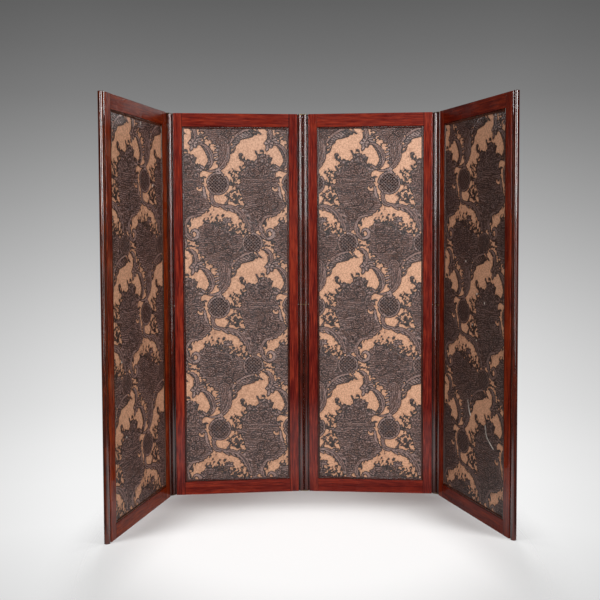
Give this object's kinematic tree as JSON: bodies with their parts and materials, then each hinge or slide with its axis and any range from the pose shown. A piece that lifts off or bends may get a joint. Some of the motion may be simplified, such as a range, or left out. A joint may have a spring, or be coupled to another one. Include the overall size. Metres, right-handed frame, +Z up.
{
  "type": "folding screen",
  "caption": "Free-standing folding screen of framed leaves with embossed coverings on both sides, joined by double-acting brass link hinges so that each leaf folds either way.",
  "frame": {"origin": "middle of the footprint's bounding box, on the floor", "axes": "+X to the right along the row of leaves as seen from the front, +Y towards the back, +Z up"},
  "size_m": [1.5484, 0.6368, 1.68],
  "materials": {
    "mahogany": "gloss french polish",
    "dark_mahogany": "gloss french polish",
    "softwood": "bare",
    "embossed_covering": "embossed, two-tone, varnished",
    "brass": "aged satin",
    "pin_steel": "dull"
  },
  "bodies": {
    "leaf_1": {"leaf_1_left_stile": "mahogany", "leaf_1_right_stile": "mahogany", "leaf_1_top_rail": "mahogany", "leaf_1_bottom_rail": "mahogany", "leaf_1_left_bead": "mahogany", "leaf_1_right_bead": "mahogany", "leaf_1_strainer": "softwood", "leaf_1_front_cover": "embossed_covering", "leaf_1_back_cover": "embossed_covering", "leaf_1_front_slips": "dark_mahogany", "leaf_1_back_slips": "dark_mahogany", "hinge_12_leaf_1_pins": "pin_steel"},
    "leaf_2": {"leaf_2_left_stile": "mahogany", "leaf_2_right_stile": "mahogany", "leaf_2_top_rail": "mahogany", "leaf_2_bottom_rail": "mahogany", "leaf_2_left_bead": "mahogany", "leaf_2_right_bead": "mahogany", "leaf_2_strainer": "softwood", "leaf_2_front_cover": "embossed_covering", "leaf_2_back_cover": "embossed_covering", "leaf_2_front_slips": "dark_mahogany", "leaf_2_back_slips": "dark_mahogany", "hinge_12_leaf_2_pins": "pin_steel", "hinge_23_leaf_2_pins": "pin_steel"},
    "leaf_3": {"leaf_3_left_stile": "mahogany", "leaf_3_right_stile": "mahogany", "leaf_3_top_rail": "mahogany", "leaf_3_bottom_rail": "mahogany", "leaf_3_left_bead": "mahogany", "leaf_3_right_bead": "mahogany", "leaf_3_strainer": "softwood", "leaf_3_front_cover": "embossed_covering", "leaf_3_back_cover": "embossed_covering", "leaf_3_front_slips": "dark_mahogany", "leaf_3_back_slips": "dark_mahogany", "hinge_23_leaf_3_pins": "pin_steel", "hinge_34_leaf_3_pins": "pin_steel"},
    "leaf_4": {"leaf_4_left_stile": "mahogany", "leaf_4_right_stile": "mahogany", "leaf_4_top_rail": "mahogany", "leaf_4_bottom_rail": "mahogany", "leaf_4_left_bead": "mahogany", "leaf_4_right_bead": "mahogany", "leaf_4_strainer": "softwood", "leaf_4_front_cover": "embossed_covering", "leaf_4_back_cover": "embossed_covering", "leaf_4_front_slips": "dark_mahogany", "leaf_4_back_slips": "dark_mahogany", "hinge_34_leaf_4_pins": "pin_steel"},
    "link_12": {"hinge_12_top_plate": "brass", "hinge_12_middle_plate": "brass", "hinge_12_bottom_plate": "brass"},
    "link_23": {"hinge_23_top_plate": "brass", "hinge_23_middle_plate": "brass", "hinge_23_bottom_plate": "brass"},
    "link_34": {"hinge_34_top_plate": "brass", "hinge_34_middle_plate": "brass", "hinge_34_bottom_plate": "brass"}
  },
  "joints": [
    {"name": "link_12_on_leaf_2", "type": "hinge", "parent": "leaf_2", "child": "link_12", "pos_m": [-0.5984, 0.25771, 0.84], "axis": [0, 0, 1], "range_deg": [-125, 55]},
    {"name": "leaf_1_on_link_12", "type": "hinge", "parent": "link_12", "child": "leaf_1", "pos_m": [-0.61572, 0.24319, 0.84], "axis": [0, 0, 1], "range_deg": [-125, 55]},
    {"name": "link_23_on_leaf_2", "type": "hinge", "parent": "leaf_2", "child": "link_23", "pos_m": [-0.03057, 0.30739, 0.84], "axis": [0, 0, 1], "range_deg": [-85, 95]},
    {"name": "leaf_3_on_link_23", "type": "hinge", "parent": "link_23", "child": "leaf_3", "pos_m": [-0.00797, 0.30739, 0.84], "axis": [0, 0, 1], "range_deg": [-85, 95]},
    {"name": "link_34_on_leaf_3", "type": "hinge", "parent": "leaf_3", "child": "link_34", "pos_m": [0.55986, 0.25771, 0.84], "axis": [0, 0, -1], "range_deg": [-123, 57]},
    {"name": "leaf_4_on_link_34", "type": "hinge", "parent": "link_34", "child": "leaf_4", "pos_m": [0.57767, 0.2438, 0.84], "axis": [0, 0, -1], "range_deg": [-123, 57]}
  ]
}
